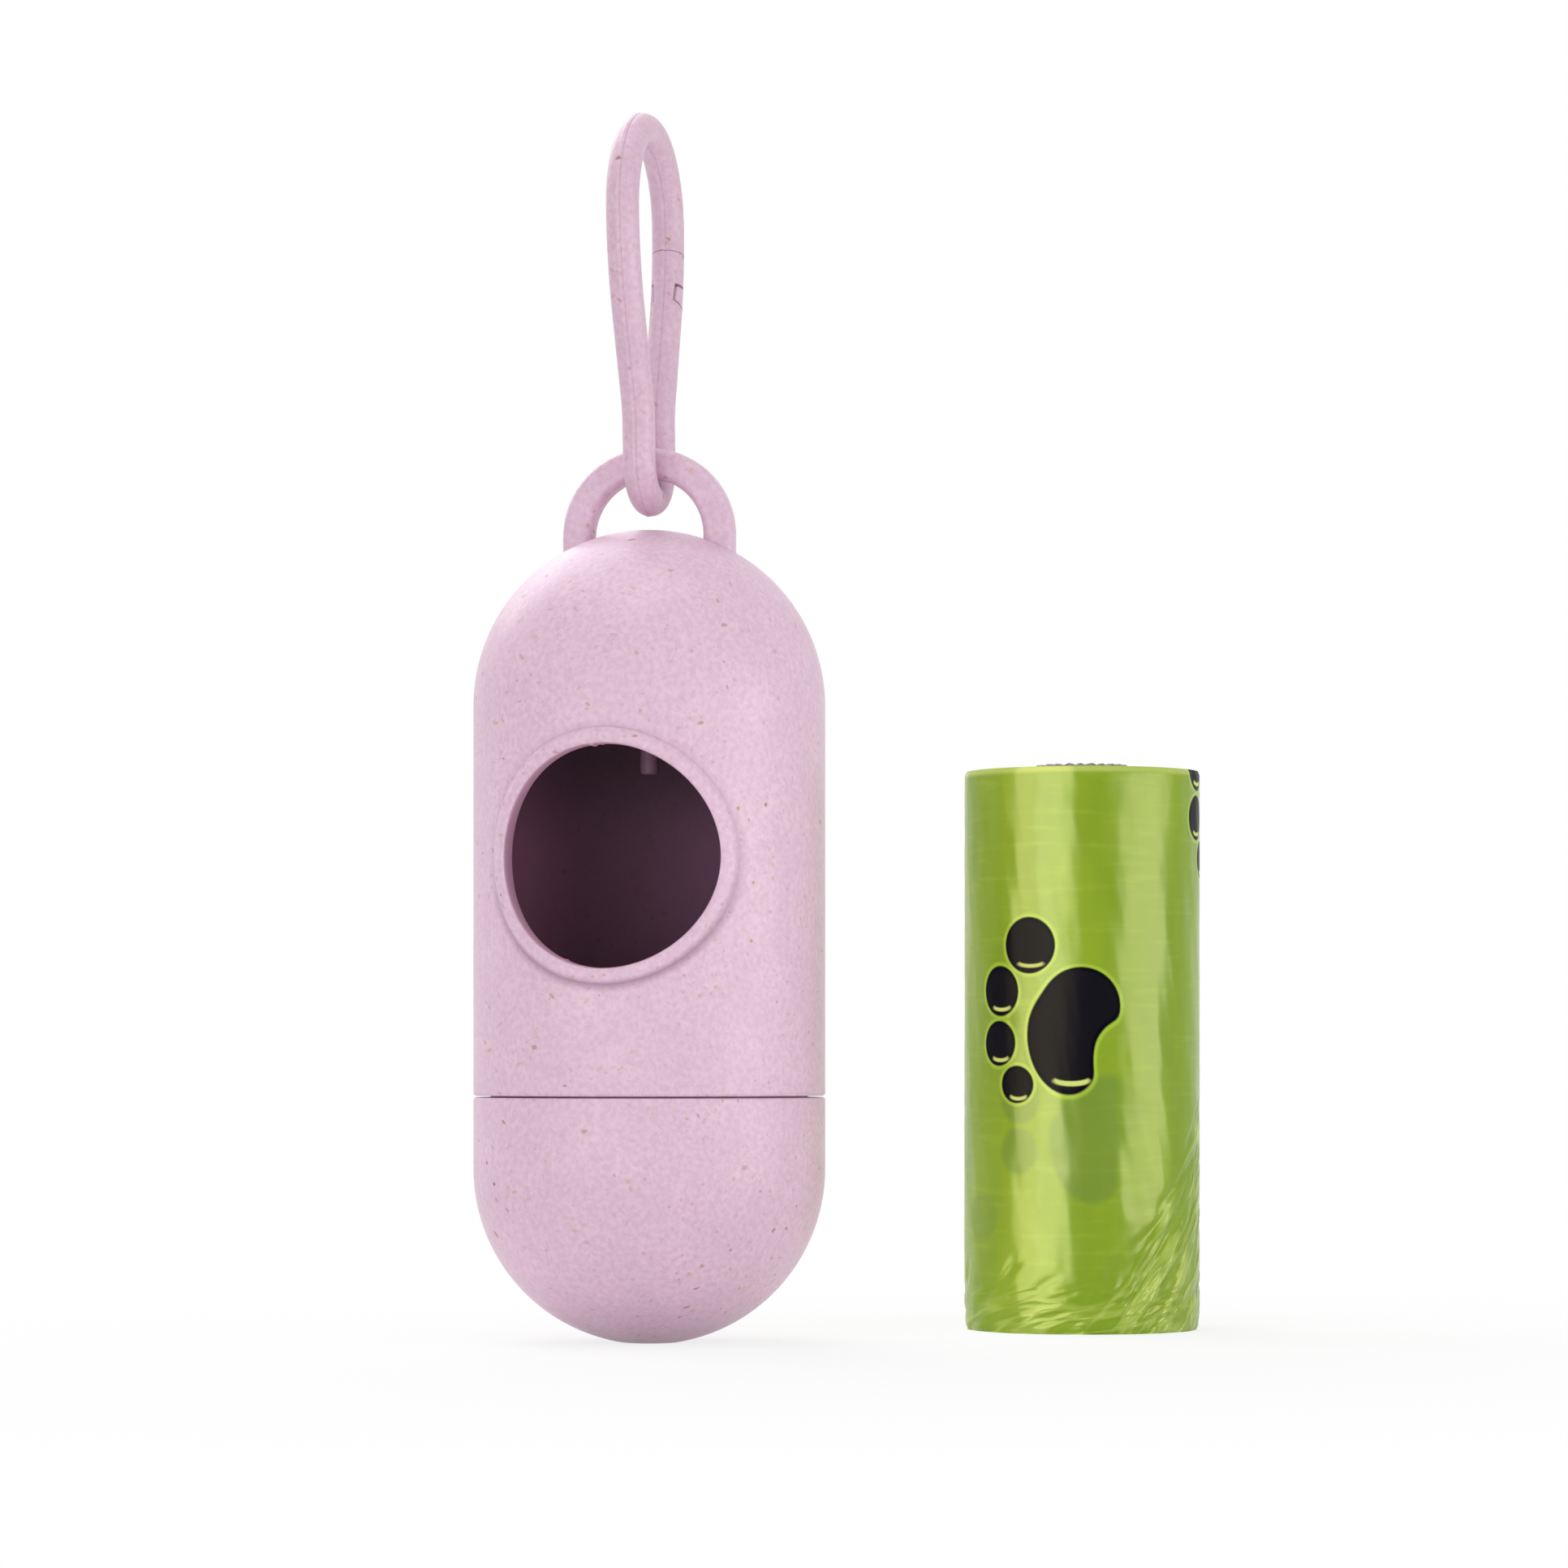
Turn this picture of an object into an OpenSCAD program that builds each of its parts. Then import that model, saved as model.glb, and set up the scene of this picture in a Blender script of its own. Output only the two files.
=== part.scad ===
// Bag dispenser for dog walks: a capsule case in two mouldings (case and cap), a one-piece
// moulded snap hook hanging through the case's ring, and the roll of bags that the case
// holds, standing beside it. Sizes are millimetres and +Z is up. The origin is the middle
// of the small flat under the cap, on the axis of the case. The bag hole faces -Y.

/* [Roll of bags] */
// Diameter of the full roll
roll_d = 27.5; // [25:0.1:30]
// Length of the roll, which is the width of a folded bag
roll_l = 64.8; // [58:0.2:70]
// Outside diameter of the cardboard core
core_d = 11; // [9:0.1:13]
// Wall of the cardboard core
core_wall = 1.3; // [0.8:0.1:1.8]
// How far the core stands out of the top of the roll
core_proud = 0.8; // [0:0.1:1.5]
// Thickness of the outermost bag, folded, where it lies round the roll
bag_t = 0.35; // [0.2:0.05:0.6]
// Part of a turn that the outermost bag covers, in degrees
bag_turn = 344; // [300:1:350]
// Direction in which the bag's loose edge lies, in degrees from +X
bag_edge_angle = 95; // [0:1:359]
// Free space between the case and the roll standing beside it
roll_gap = 23.8; // [5:0.1:60]
// Bearing of the standing roll from the case, in degrees from +X
roll_bearing = 43; // [20:1:70]

/* [Case] */
// Wall of the case and of the cap
wall = 2; // [1.6:0.1:2.6]
// Free space round the roll inside the case
roll_room = 3.75; // [2.6:0.05:6]
// Free height over the roll inside the case
roll_end_play = 8.1; // [5:0.1:16]
// Height of the flat under the cap, cut off its round end
foot_cut = 0.25; // [0.1:0.05:0.6]
// Height of the straight part of the cap, up to the seam
skirt_h = 8; // [7.25:0.25:12]
// Chamfer on both edges of the seam
seam_chamfer = 0.25; // [0.1:0.05:0.5]

/* [Push-fit neck] */
// Length of the neck that goes down into the cap
neck_l = 7; // [4:0.25:7]
// Wall of the neck
neck_wall = 1.4; // [1.1:0.1:1.6]
// Radial clearance of the neck in the cap
neck_fit = 0.06; // [0.03:0.01:0.1]
// How far the cap's socket is cut back into its wall
socket_relief = 0.15; // [0.1:0.05:0.4]
// Height of the thick root above the seam, where the neck joins the case
neck_root_h = 1.6; // [1:0.1:3]

/* [Bag hole] */
// Diameter of the hole that the bags come out of
hole_d = 24.1; // [18:0.1:27]
// Width of the raised rim round the hole
rim_w = 1.8; // [1.2:0.05:3]
// Height of the rim over the case
rim_h = 0.6; // [0.4:0.05:1.2]
// Set-back of the rim's upper step, which rounds it off
rim_step = 0.35; // [0.2:0.05:0.5]
// Distance from the rim to the start of the dome
rim_below_dome = 3.45; // [1:0.05:6]

/* [Centre peg] */
// Diameter of the peg that steadies the roll
peg_d = 2; // [1.6:0.1:3.6]
// How far the peg reaches into the core of a full roll
peg_reach = 10.3; // [4:0.1:16]
// Diameter of the peg's cone where it meets the dome
peg_root_d = 4.8; // [3.8:0.1:7]
// Height of that cone
peg_root_h = 3; // [1.5:0.1:5]

/* [Hanging ring] */
// Outside diameter of the ring's arch
ring_d = 19.5; // [17:0.1:24]
// Width of the ring, from its inside to its outside
ring_w = 3.4; // [2.6:0.1:3.6]
// Thickness of the ring
ring_t = 3; // [2.4:0.1:3.4]
// Rounding of the ring's edges
ring_edge_r = 0.9; // [0.7:0.05:1]
// Free height between the dome and the hook
hook_room = 1.55; // [1:0.05:4]
// Play between the hook and the ring above it
hang_play = 0.4; // [0.35:0.05:0.7]

/* [Snap hook] */
// Diameter of the hook's round section
hook_d = 3.75; // [3.2:0.05:4.6]
// Height of the hook between the middles of its top and bottom bends
hook_h = 40.7; // [38:0.1:52]
// Radius of the wide top bend, to the middle of the section
loop_r = 9.7; // [9.2:0.1:11]
// Free space on each side of the ring in the bottom bend
ring_side_play = 0.95; // [0.75:0.05:1.4]
// Length of the straight stretch above the bottom bend
shank_l = 4.05; // [3:0.05:6]
// Angle at which the arms flare out
flare_angle = 18.8; // [17:0.1:20]
// Bend radius where the arms start to flare
flare_r = 8; // [6:0.5:10]
// Lean of the hook towards the bag hole's side
hook_lean = 3.5; // [-8:0.5:8]

/* [Gate] */
// Distance from the gate's living hinge to the seam at its tip
gate_l = 18.8; // [16.5:0.1:19.5]
// Distance from the living hinge to the ledge of the barb
barb_l = 14.9; // [13.5:0.05:15.4]
// Depth of the barb's upright edge
barb_h = 1.65; // [1.2:0.1:2.4]
// Further depth of the slope under the barb
barb_slope_h = 1.3; // [0.4:0.05:1.6]
// Distance that the barb reaches past the middle of the section
barb_reach = 0.95; // [0.3:0.05:1.1]
// Distance from the middle of the section to the nose's tongue
tongue_set = 0.8; // [0.6:0.05:1.1]
// Gap at the seam and under the barb
gate_gap = 0.14; // [0.1:0.02:0.25]
// Gap round the barb's edge and over its ledge
catch_gap = 0.2; // [0.1:0.02:0.3]

/* [Hidden] */
$fn = 96;
eps = 0.01;
bleed = 5;             // how far cutters run past what they cut
section_steps = 5;     // segments in a rounded corner of the ring's section
weld_h = 0.1;          // height of the hair-thin collars that fuse neighbouring stretches
weld_lift = 0.01;      // how far those collars stand proud

// Case and cap
roll_r = roll_d / 2;
chamber_r = roll_r + roll_room;
case_r = chamber_r + wall;
cap_centre_z = case_r - foot_cut;                       // centre of the cap's round end
seam_z = cap_centre_z + skirt_h;
end_room = sqrt(chamber_r * chamber_r - roll_r * roll_r); // roll's way into a round end
roll_seat_z = cap_centre_z - end_room;                  // where a loaded roll stands
dome_centre_z = roll_seat_z + roll_l + roll_end_play - end_room;
dome_top_z = dome_centre_z + case_r;

// Neck and socket
socket_r = chamber_r + socket_relief;
neck_r = socket_r - neck_fit;
neck_bore_r = neck_r - neck_wall;
socket_floor_gap = 0.25;                                // the neck never bottoms out
lead_in_w = 0.3;                                        // taper at the neck's lower edge
lead_in_h = 0.5;
neck_bond_r = chamber_r + wall / 2;                     // middle of the wall it is moulded to

// Bag hole
hole_r = hole_d / 2;
rim_r = hole_r + rim_w;
hole_z = dome_centre_z - rim_below_dome - rim_r;
rim_step_h = rim_h - rim_step;                          // height of the lower step

// Peg
peg_tip_z = roll_seat_z + roll_l - peg_reach;
peg_top_z = dome_centre_z + chamber_r + wall / 2;
peg_taper_w = 0.3;                                      // taper at the peg's tip
peg_taper_h = 0.4;

// Ring
ring_r = ring_d / 2 - ring_w / 2;                       // to the middle of its section
ring_top_z = dome_top_z + hook_room + hook_d + hang_play + ring_w / 2;
ring_centre_z = ring_top_z - ring_r;
ring_foot_z = dome_centre_z + sqrt(case_r * case_r - pow(ring_d / 2, 2)) - wall;

// Hook, in its own plane: y is across it and z is up from the middle of the bottom bend
hook_r = hook_d / 2;
bend_r = ring_t / 2 + ring_side_play + hook_r;
hook_drop = ring_w / 2 + hang_play + hook_r;            // bottom bend below the ring's middle
flare_start_z = bend_r + shank_l;
flare_end_y = bend_r + flare_r * (1 - cos(flare_angle));
flare_end_z = flare_start_z + flare_r * sin(flare_angle);
loop_z = hook_h - loop_r;                               // centre of the top bend
shoulder_r = (flare_end_y + tan(flare_angle) * (loop_z - flare_end_z) - loop_r)
    / (tan(flare_angle) * sin(flare_angle) + cos(flare_angle) - 1);
shoulder_y = loop_r - shoulder_r;                       // centre of the shoulder's curve
arm_end_z = loop_z - shoulder_r * sin(flare_angle);
arm_l = (arm_end_z - flare_end_z) / cos(flare_angle);

// Living hinge of the gate, in the middle of the flare's bend
hinge_y = bend_r + flare_r * (1 - cos(flare_angle / 2));
hinge_z = flare_start_z + flare_r * sin(flare_angle / 2);
nose_tilt = atan((shoulder_y + sqrt(pow(shoulder_r, 2) - pow(loop_z - hinge_z - barb_l, 2))
    - hinge_y) / barb_l);

// Standing roll
roll_x = (case_r + roll_gap + roll_r) * cos(roll_bearing);
roll_y = (case_r + roll_gap + roll_r) * sin(roll_bearing);
bag_fit = 0.02;                                         // keeps neighbouring turns apart

plastic = [0.86, 0.73, 0.82];
film = [0.58, 0.68, 0.24];
card = [0.70, 0.67, 0.60];

// Corner points of a w by t rectangle with rounded corners, centred on the origin
function rounded_section(w, t, r) = [
    for (c = [[1, 1, 0], [-1, 1, 90], [-1, -1, 180], [1, -1, 270]], i = [0:section_steps])
        let (a = c[2] + 90 * i / section_steps)
        [c[0] * (w / 2 - r) + r * cos(a), c[1] * (t / 2 - r) + r * sin(a)]
];

// ---- Case and cap

// A solid of revolution with a straight side, closed by a round end above
module domed_plug(r, bottom_z, centre_z) {
    translate([0, 0, bottom_z]) cylinder(r = r, h = centre_z - bottom_z);
    translate([0, 0, centre_z]) sphere(r = r);
}

// The straight barrel with the seam's chamfer at its lower edge
module barrel(low_z, high_z) {
    rotate_extrude() polygon([
        [0, low_z], [case_r - seam_chamfer, low_z], [case_r, low_z + seam_chamfer],
        [case_r, high_z], [0, high_z]
    ]);
}

module cap() color(plastic) difference() {
    union() {
        translate([0, 0, cap_centre_z]) sphere(r = case_r);
        rotate_extrude() polygon([
            [0, cap_centre_z], [case_r, cap_centre_z], [case_r, seam_z - seam_chamfer],
            [case_r - seam_chamfer, seam_z], [0, seam_z]
        ]);
    }
    translate([-case_r, -case_r, -case_r]) cube([2 * case_r, 2 * case_r, case_r]);
    translate([-case_r, -case_r, seam_z]) cube(2 * case_r);
    translate([0, 0, cap_centre_z]) sphere(r = chamber_r);
    translate([0, 0, cap_centre_z]) cylinder(r = chamber_r, h = skirt_h + bleed);
    translate([0, 0, seam_z - neck_l - socket_floor_gap]) cylinder(r = socket_r, h = neck_l + bleed);
}

// Rim round the bag hole, following the barrel, in two steps
module hole_rim() {
    rim_ring(rim_r, case_r + rim_step_h);
    rim_ring(rim_r - rim_step, case_r + rim_h);
}

module rim_ring(outer_r, reach) intersection() {
    translate([0, 0, hole_z]) rotate([90, 0, 0]) cylinder(r = outer_r, h = case_r + bleed);
    translate([0, 0, hole_z - rim_r - bleed]) cylinder(r = reach, h = 2 * (rim_r + bleed));
}

// Ring on the dome: an arch on two straight legs
module ring() {
    translate([0, 0, ring_centre_z]) rotate([90, 0, 0]) rotate_extrude(angle = 180)
        translate([ring_r, 0]) polygon(rounded_section(ring_w, ring_t, ring_edge_r));
    for (side = [-1, 1]) translate([side * ring_r, 0, ring_foot_z])
        linear_extrude(height = ring_centre_z - ring_foot_z)
            polygon(rounded_section(ring_w, ring_t, ring_edge_r));
    for (side = [-1, 1]) translate([side * ring_r, 0, ring_centre_z - weld_h / 2])
        linear_extrude(height = weld_h) polygon(rounded_section(
            ring_w + 2 * weld_lift, ring_t + 2 * weld_lift, ring_edge_r + weld_lift));
}

module neck() rotate_extrude() polygon([
    [neck_bore_r, seam_z - neck_l], [neck_r - lead_in_w, seam_z - neck_l],
    [neck_r, seam_z - neck_l + lead_in_h], [neck_r, seam_z + eps],
    [neck_bond_r, seam_z + eps], [neck_bond_r, seam_z + neck_root_h + wall],
    [chamber_r, seam_z + neck_root_h + chamber_r - neck_bore_r],
    [neck_bore_r, seam_z + neck_root_h]
]);

module peg() {
    translate([0, 0, peg_tip_z])
        cylinder(d1 = peg_d - 2 * peg_taper_w, d2 = peg_d, h = peg_taper_h);
    translate([0, 0, peg_tip_z + peg_taper_h])
        cylinder(d = peg_d, h = peg_top_z - peg_tip_z - peg_taper_h);
    translate([0, 0, dome_centre_z + chamber_r - peg_root_h])
        cylinder(d1 = peg_d, d2 = peg_root_d, h = peg_root_h);
}

module case_shell() color(plastic) {
    difference() {
        union() {
            barrel(seam_z, dome_centre_z);
            translate([0, 0, dome_centre_z]) sphere(r = case_r);
            hole_rim();
            ring();
        }
        domed_plug(chamber_r, seam_z - bleed, dome_centre_z);
        translate([0, 0, hole_z]) rotate([90, 0, 0]) cylinder(r = hole_r, h = case_r + bleed);
    }
    neck();
    peg();
}

// ---- Snap hook

// Places the hook's own plane on the ring, leaning as it hangs
module on_ring() translate([0, 0, ring_top_z]) rotate([hook_lean, 0, 0])
    translate([0, 0, -hook_drop]) children();

// Part of a bend: centre, radius to the middle of the section, first angle and sweep
module bend(y, z, r, start, sweep) translate([0, y, z]) rotate([90, 0, 90])
    rotate([0, 0, start]) rotate_extrude(angle = sweep) translate([r, 0]) circle(d = hook_d);

// Collar where two stretches of the section meet, which makes them one solid
module weld(y, z, tilt) translate([0, y, z]) rotate([-tilt, 0, 0])
    translate([0, 0, -weld_h / 2]) cylinder(r = hook_r + weld_lift, h = weld_h);

module shank() {
    translate([0, bend_r, bend_r]) cylinder(d = hook_d, h = shank_l);
    weld(bend_r, bend_r, 0);
}

module flare() bend(bend_r + flare_r, flare_start_z, flare_r, 180 - flare_angle, flare_angle);

// The long arm above the flare, up to the start of the top bend
module arm() {
    translate([0, flare_end_y, flare_end_z]) rotate([-flare_angle, 0, 0])
        cylinder(d = hook_d, h = arm_l);
    weld(shoulder_y + shoulder_r * cos(flare_angle), arm_end_z, flare_angle);
    bend(shoulder_y, loop_z, shoulder_r, -flare_angle, flare_angle);
}

// The nose seen from the side, drawn (across, along) the line from the living hinge to it:
// all above the seam, the tongue behind the gate, and the barb. Grown by a gap at the seam
// and another one round the barb.
module nose_outline(gap, catch) {
    low = barb_l - barb_h;
    slope = barb_slope_h / (hook_r + barb_reach);
    polygon([
        [-hook_h, gate_l - gap], [tongue_set - catch, gate_l - gap],
        [tongue_set - catch, barb_l + catch], [-barb_reach - catch, barb_l + catch],
        [-barb_reach - catch, low - gap], [hook_d, low - gap - slope * (hook_d + barb_reach)],
        [hook_d, hook_h], [-hook_h, hook_h]
    ]);
}

module nose_space(gap, catch) translate([0, hinge_y, hinge_z]) rotate([-nose_tilt, 0, 0])
    rotate([90, 0, 90]) translate([0, 0, -hook_d])
        linear_extrude(height = 2 * hook_d) nose_outline(gap, catch);

module nose() intersection() {
    arm();
    nose_space(0, 0);
}

module hook_frame() color(plastic) on_ring() {
    bend(0, bend_r, bend_r, 180, 180);
    bend(0, loop_z, loop_r, 0, 180);
    weld(loop_r, loop_z, 0);
    shank();
    nose();
    mirror([0, 1, 0]) {
        shank();
        weld(bend_r, flare_start_z, 0);
        flare();
        weld(flare_end_y, flare_end_z, flare_angle);
        arm();
        weld(loop_r, loop_z, 0);
    }
}

module hook_gate() color(plastic) on_ring() difference() {
    arm();
    nose_space(gate_gap, catch_gap);
}

module gate_flexure() color(plastic) on_ring() flare();

// ---- Roll of bags

module beside_case() translate([roll_x, roll_y, 0]) children();

module tube(outer_r, inner_r, h) difference() {
    cylinder(r = outer_r, h = h);
    translate([0, 0, -bleed]) cylinder(r = inner_r, h = h + 2 * bleed);
}

module roll_core() color(card) beside_case()
    tube(core_d / 2, core_d / 2 - core_wall, roll_l + core_proud);

module wound_bags() color(film) beside_case()
    tube(roll_r - bag_t - bag_fit, core_d / 2 + bag_fit, roll_l);

module outer_bag() color(film) beside_case()
    rotate([0, 0, bag_edge_angle]) rotate_extrude(angle = bag_turn)
        translate([roll_r - bag_t, 0]) square([bag_t, roll_l]);

cap();
case_shell();
hook_frame();
hook_gate();
gate_flexure();
roll_core();
wound_bags();
outer_bag();
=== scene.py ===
"""Looks of the dispenser: its case, cap, snap hook and roll of bags, in the solids' frame."""
import math
import random

import bmesh
import bpy
from mathutils import Matrix, Vector, noise


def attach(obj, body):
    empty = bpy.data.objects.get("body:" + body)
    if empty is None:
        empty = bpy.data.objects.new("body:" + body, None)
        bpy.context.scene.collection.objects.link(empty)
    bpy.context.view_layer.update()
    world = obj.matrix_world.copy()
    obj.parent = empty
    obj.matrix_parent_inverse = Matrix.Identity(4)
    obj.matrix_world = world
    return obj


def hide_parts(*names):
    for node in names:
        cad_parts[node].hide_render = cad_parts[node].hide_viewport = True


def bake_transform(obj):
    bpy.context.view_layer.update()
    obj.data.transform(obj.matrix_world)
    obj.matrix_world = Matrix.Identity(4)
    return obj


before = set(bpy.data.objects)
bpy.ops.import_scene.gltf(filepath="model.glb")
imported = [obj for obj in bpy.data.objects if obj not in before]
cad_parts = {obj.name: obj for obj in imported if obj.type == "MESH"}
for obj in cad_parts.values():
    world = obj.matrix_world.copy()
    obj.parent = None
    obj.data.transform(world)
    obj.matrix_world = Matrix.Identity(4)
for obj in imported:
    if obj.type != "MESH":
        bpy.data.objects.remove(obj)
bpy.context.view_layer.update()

# Sizes are millimetres until a mesh is finished. The case stands on the origin and its bag
# hole faces -Y. Seam, dome, hole and ring are where the solids have them.
MM = 0.001
CASE_R = 19.5
CHAMBER_R = 17.5
CAP_CENTRE_Z = 19.25
SEAM_Z = 27.25
SEAM_GAP = 0.09             # half of the gap that shows between case and cap
EDGE_R = 0.28
EDGE_STEP = 0.088
DOME_CENTRE_Z = 70.499
SOCKET_R = 17.65
NECK_R = 17.59
NECK_BORE_R = 16.19
NECK_FOOT_Z = 20.25
SOCKET_FLOOR_Z = 20.0
HOLE_R = 12.05
HOLE_Z = 53.199
RIM_W = 1.8
RIM_H = 0.6
PEG_R = 1.0
PEG_TIP_Z = 62.925
RING_R = 8.05
RING_W = 3.4
RING_T = 3.0
RING_EDGE_R = 0.9
RING_CENTRE_Z = 89.349
RING_TOP_Z = RING_CENTRE_Z + RING_R
RING_FOOT_Z = 86.6          # where its legs end, inside the dome

HOOK_R = 1.875
HOOK_LEAN = 3.5
HOOK_DROP = 3.975
BEND_R = 4.325
FLARE_R = 8.0
FLARE_ANGLE = 18.8
FLARE_START_Z = 8.375
SHOULDER_R = 33.293
LOOP_R = 9.7
LOOP_Z = 31.0
ARM_END_Z = 20.271
HINGE = (4.432, 9.682)
NOSE_TILT = 17.308
GATE_L = 18.8
BARB_L = 14.9
BARB_H = 1.65
BARB_SLOPE = 1.3 / 2.825
BARB_REACH = 0.95
TONGUE_SET = 0.8
GATE_GAP = 0.08             # at the seam and the slope, as it shows
CATCH_GAP = 0.32            # round the barb's edge and ledge
GATE_ROOT_Z = FLARE_START_Z - 1.6
PARTING_H = 0.07            # how proud the mould's parting line is
NOSE_PAST = 2.2             # how far the frame's arm goes on below the gate's nose, to be cut
CUT_REACH = 5               # the cutting solids, across from the hinge to either side
CUT_FOOT = 6                # and along from it
CUT_TOP = 25

ROLL_AXIS = (41.7237, 38.908)
ROLL_R = 13.75
ROLL_L = 64.8
CORE_TOP_Z = 65.6
CORE_R = 5.5
CORE_BORE_R = 4.2
FILM_START = 95             # where the last bag starts, and how far round it goes, in degrees
FILM_TURN = 344
FILM_DEPTH = 0.36           # the last bag's skin, where it is least, and its deepest crease
FILM_LEAST = 0.03
CREASE_DEPTH = 0.34
FACING = -79.9              # direction from the roll to the camera, in degrees from +X

# The photograph's view. PX is a length in its pixels, and the turn is in degrees.
PHOTO_PX = 1932
FOCAL_PX = 6216
SHIFT_X_PX = 3
SHIFT_Y_PX = 343.2
CAMERA_AT = (144.9, -540.9, 31)
CAMERA_TURN = 13.497

# Light and floor, in metres.
ROOM_LIGHT = 0.5
CASE_AIM = (0.02, 0.01, 0.05)
ROLL_AIM = (0.04, 0.04, 0.03)
FLOOR_LOW = -0.22
FLOOR_HIGH = 0.26

# The bag's print, in mm round and up the unrolled film. Each column of prints is a step higher
# than the last, and a print comes again after the repeat.
PRINT_EDGE = -18.1
PRINT_COLUMN = 28.3
PRINT_STEP = 26.1
PRINT_FOOT = 10
PRINT_REPEAT = 74
UNDER_ASIDE = 2.8           # how the print of the next turn lies, from the one above it
UNDER_DROP = 12.3
# Ovals of the paw: middle across and up, half width, half height, and a turn in degrees.
PAD_TOP = (-0.1, 37.4, 4.6, 4.5, 0)
PAD_FOOT = (-2.2, 33.2, 4.2, 6.0, 14)
PAD_NOTCH = (4.9, 31.0, 3.5, 4.7, 8)
PAD_SHINE = (-1.2, 28.9, 2.1, 0.6)
TOES = [(-6.3, 44.4, 3.2, 3.25, 20), (-10.3, 39.2, 2.6, 2.9, 8),
        (-10.5, 33.2, 2.4, 2.6, -4), (-7.9, 28.5, 2.2, 2.15, -20)]
UNDER_TOES = TOES[:3] + [(-16.6, 25.5, 2.8, 2.6, 0)]

# Flecks of fibre in the plastic: their turns in degrees, stretch, cell size and width in metres,
# the share of the cells that have one, strength and colour.
FLECKS = [((60, 10, -60), 2.0, 0.0009, 0.00028, 0.7, 0.4, (190, 172, 172)),
          ((20, 50, 0), 2.8, 0.0011, 0.00027, 0.7, 0.55, (204, 166, 152)),
          ((80, -30, 40), 3.0, 0.0013, 0.00028, 0.7, 0.7, (196, 162, 136)),
          ((-50, 20, 70), 2.6, 0.0016, 0.0003, 0.6, 0.8, (182, 136, 108)),
          ((10, 80, 20), 2.2, 0.0024, 0.00034, 0.4, 0.95, (158, 116, 84))]


# ---- Camera and lamps

def add_object(name, data):
    """Puts data in the scene as an object at the origin."""
    piece = bpy.data.objects.new(name, data)
    bpy.context.scene.collection.objects.link(piece)
    return piece


def add_camera():
    """The photograph's camera: level, turned to the left, its picture shifted up."""
    data = bpy.data.cameras.new("camera")
    data.sensor_width = 36
    data.lens = data.sensor_width * FOCAL_PX / PHOTO_PX
    data.shift_x, data.shift_y = SHIFT_X_PX / PHOTO_PX, SHIFT_Y_PX / PHOTO_PX
    data.clip_start, data.clip_end = 0.02, 20
    camera = add_object("camera", data)
    level = Matrix.Rotation(math.radians(90), 4, "X")
    turn = Matrix.Rotation(math.radians(CAMERA_TURN), 4, "Z")
    camera.matrix_world = Matrix.Translation(Vector(CAMERA_AT) * MM) @ turn @ level
    bpy.context.scene.camera = camera


def add_softbox(name, spot, target, width, height, power, tint=(1, 1, 1)):
    """A rectangular lamp, with its lengths in metres."""
    data = bpy.data.lights.new(name, "AREA")
    data.shape = "RECTANGLE"
    data.size, data.size_y = width, height
    data.energy, data.color = power, tint
    lamp = add_object(name, data)
    aim = (Vector(target) - Vector(spot)).to_track_quat("-Z", "Y")
    lamp.matrix_world = Matrix.Translation(spot) @ aim.to_matrix().to_4x4()
    return lamp


def linked(name, pieces, state):
    """Collection that makes a lamp take in only these pieces, or leave them out."""
    group = bpy.data.collections.new(name)
    for piece in pieces:
        group.objects.link(piece)
    for entry in group.collection_objects:
        entry.light_linking.link_state = state
    return group


# ---- Node trees

class Field:
    """A node's output that takes part in sums as a number does."""

    def __init__(self, nodes, socket):
        self.nodes, self.socket = nodes, socket

    def math(self, operation, *others):
        """This value in a Math node, ahead of other fields or numbers."""
        return self.nodes.add("ShaderNodeMath", {"operation": operation},
                              dict(enumerate((self, *others))))

    def __add__(self, other):
        return self.math("ADD", other)

    def __sub__(self, other):
        return self.math("SUBTRACT", other)

    def __neg__(self):
        return self * -1

    def __rsub__(self, other):
        return -self + other

    def __mul__(self, other):
        return self.math("MULTIPLY", other)

    def __truediv__(self, other):
        return self.math("DIVIDE", other)

    def __abs__(self):
        return self.math("ABSOLUTE")

    __radd__, __rmul__ = __add__, __mul__

    def smaller(self, other, blend=0.0):
        return self.math("SMOOTH_MIN", other, blend)

    def larger(self, other, blend=0.0):
        return self.math("SMOOTH_MAX", other, blend)

    def ramp(self, low, high):
        """0 below low, 1 above high and smooth between, or the other way round."""
        flip = low > high
        spans = {"Value": self, "From Min": min(low, high), "From Max": max(low, high),
                 "To Min": float(flip), "To Max": float(not flip)}
        return self.nodes.add("ShaderNodeMapRange", {"interpolation_type": "SMOOTHSTEP"}, spans)


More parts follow.
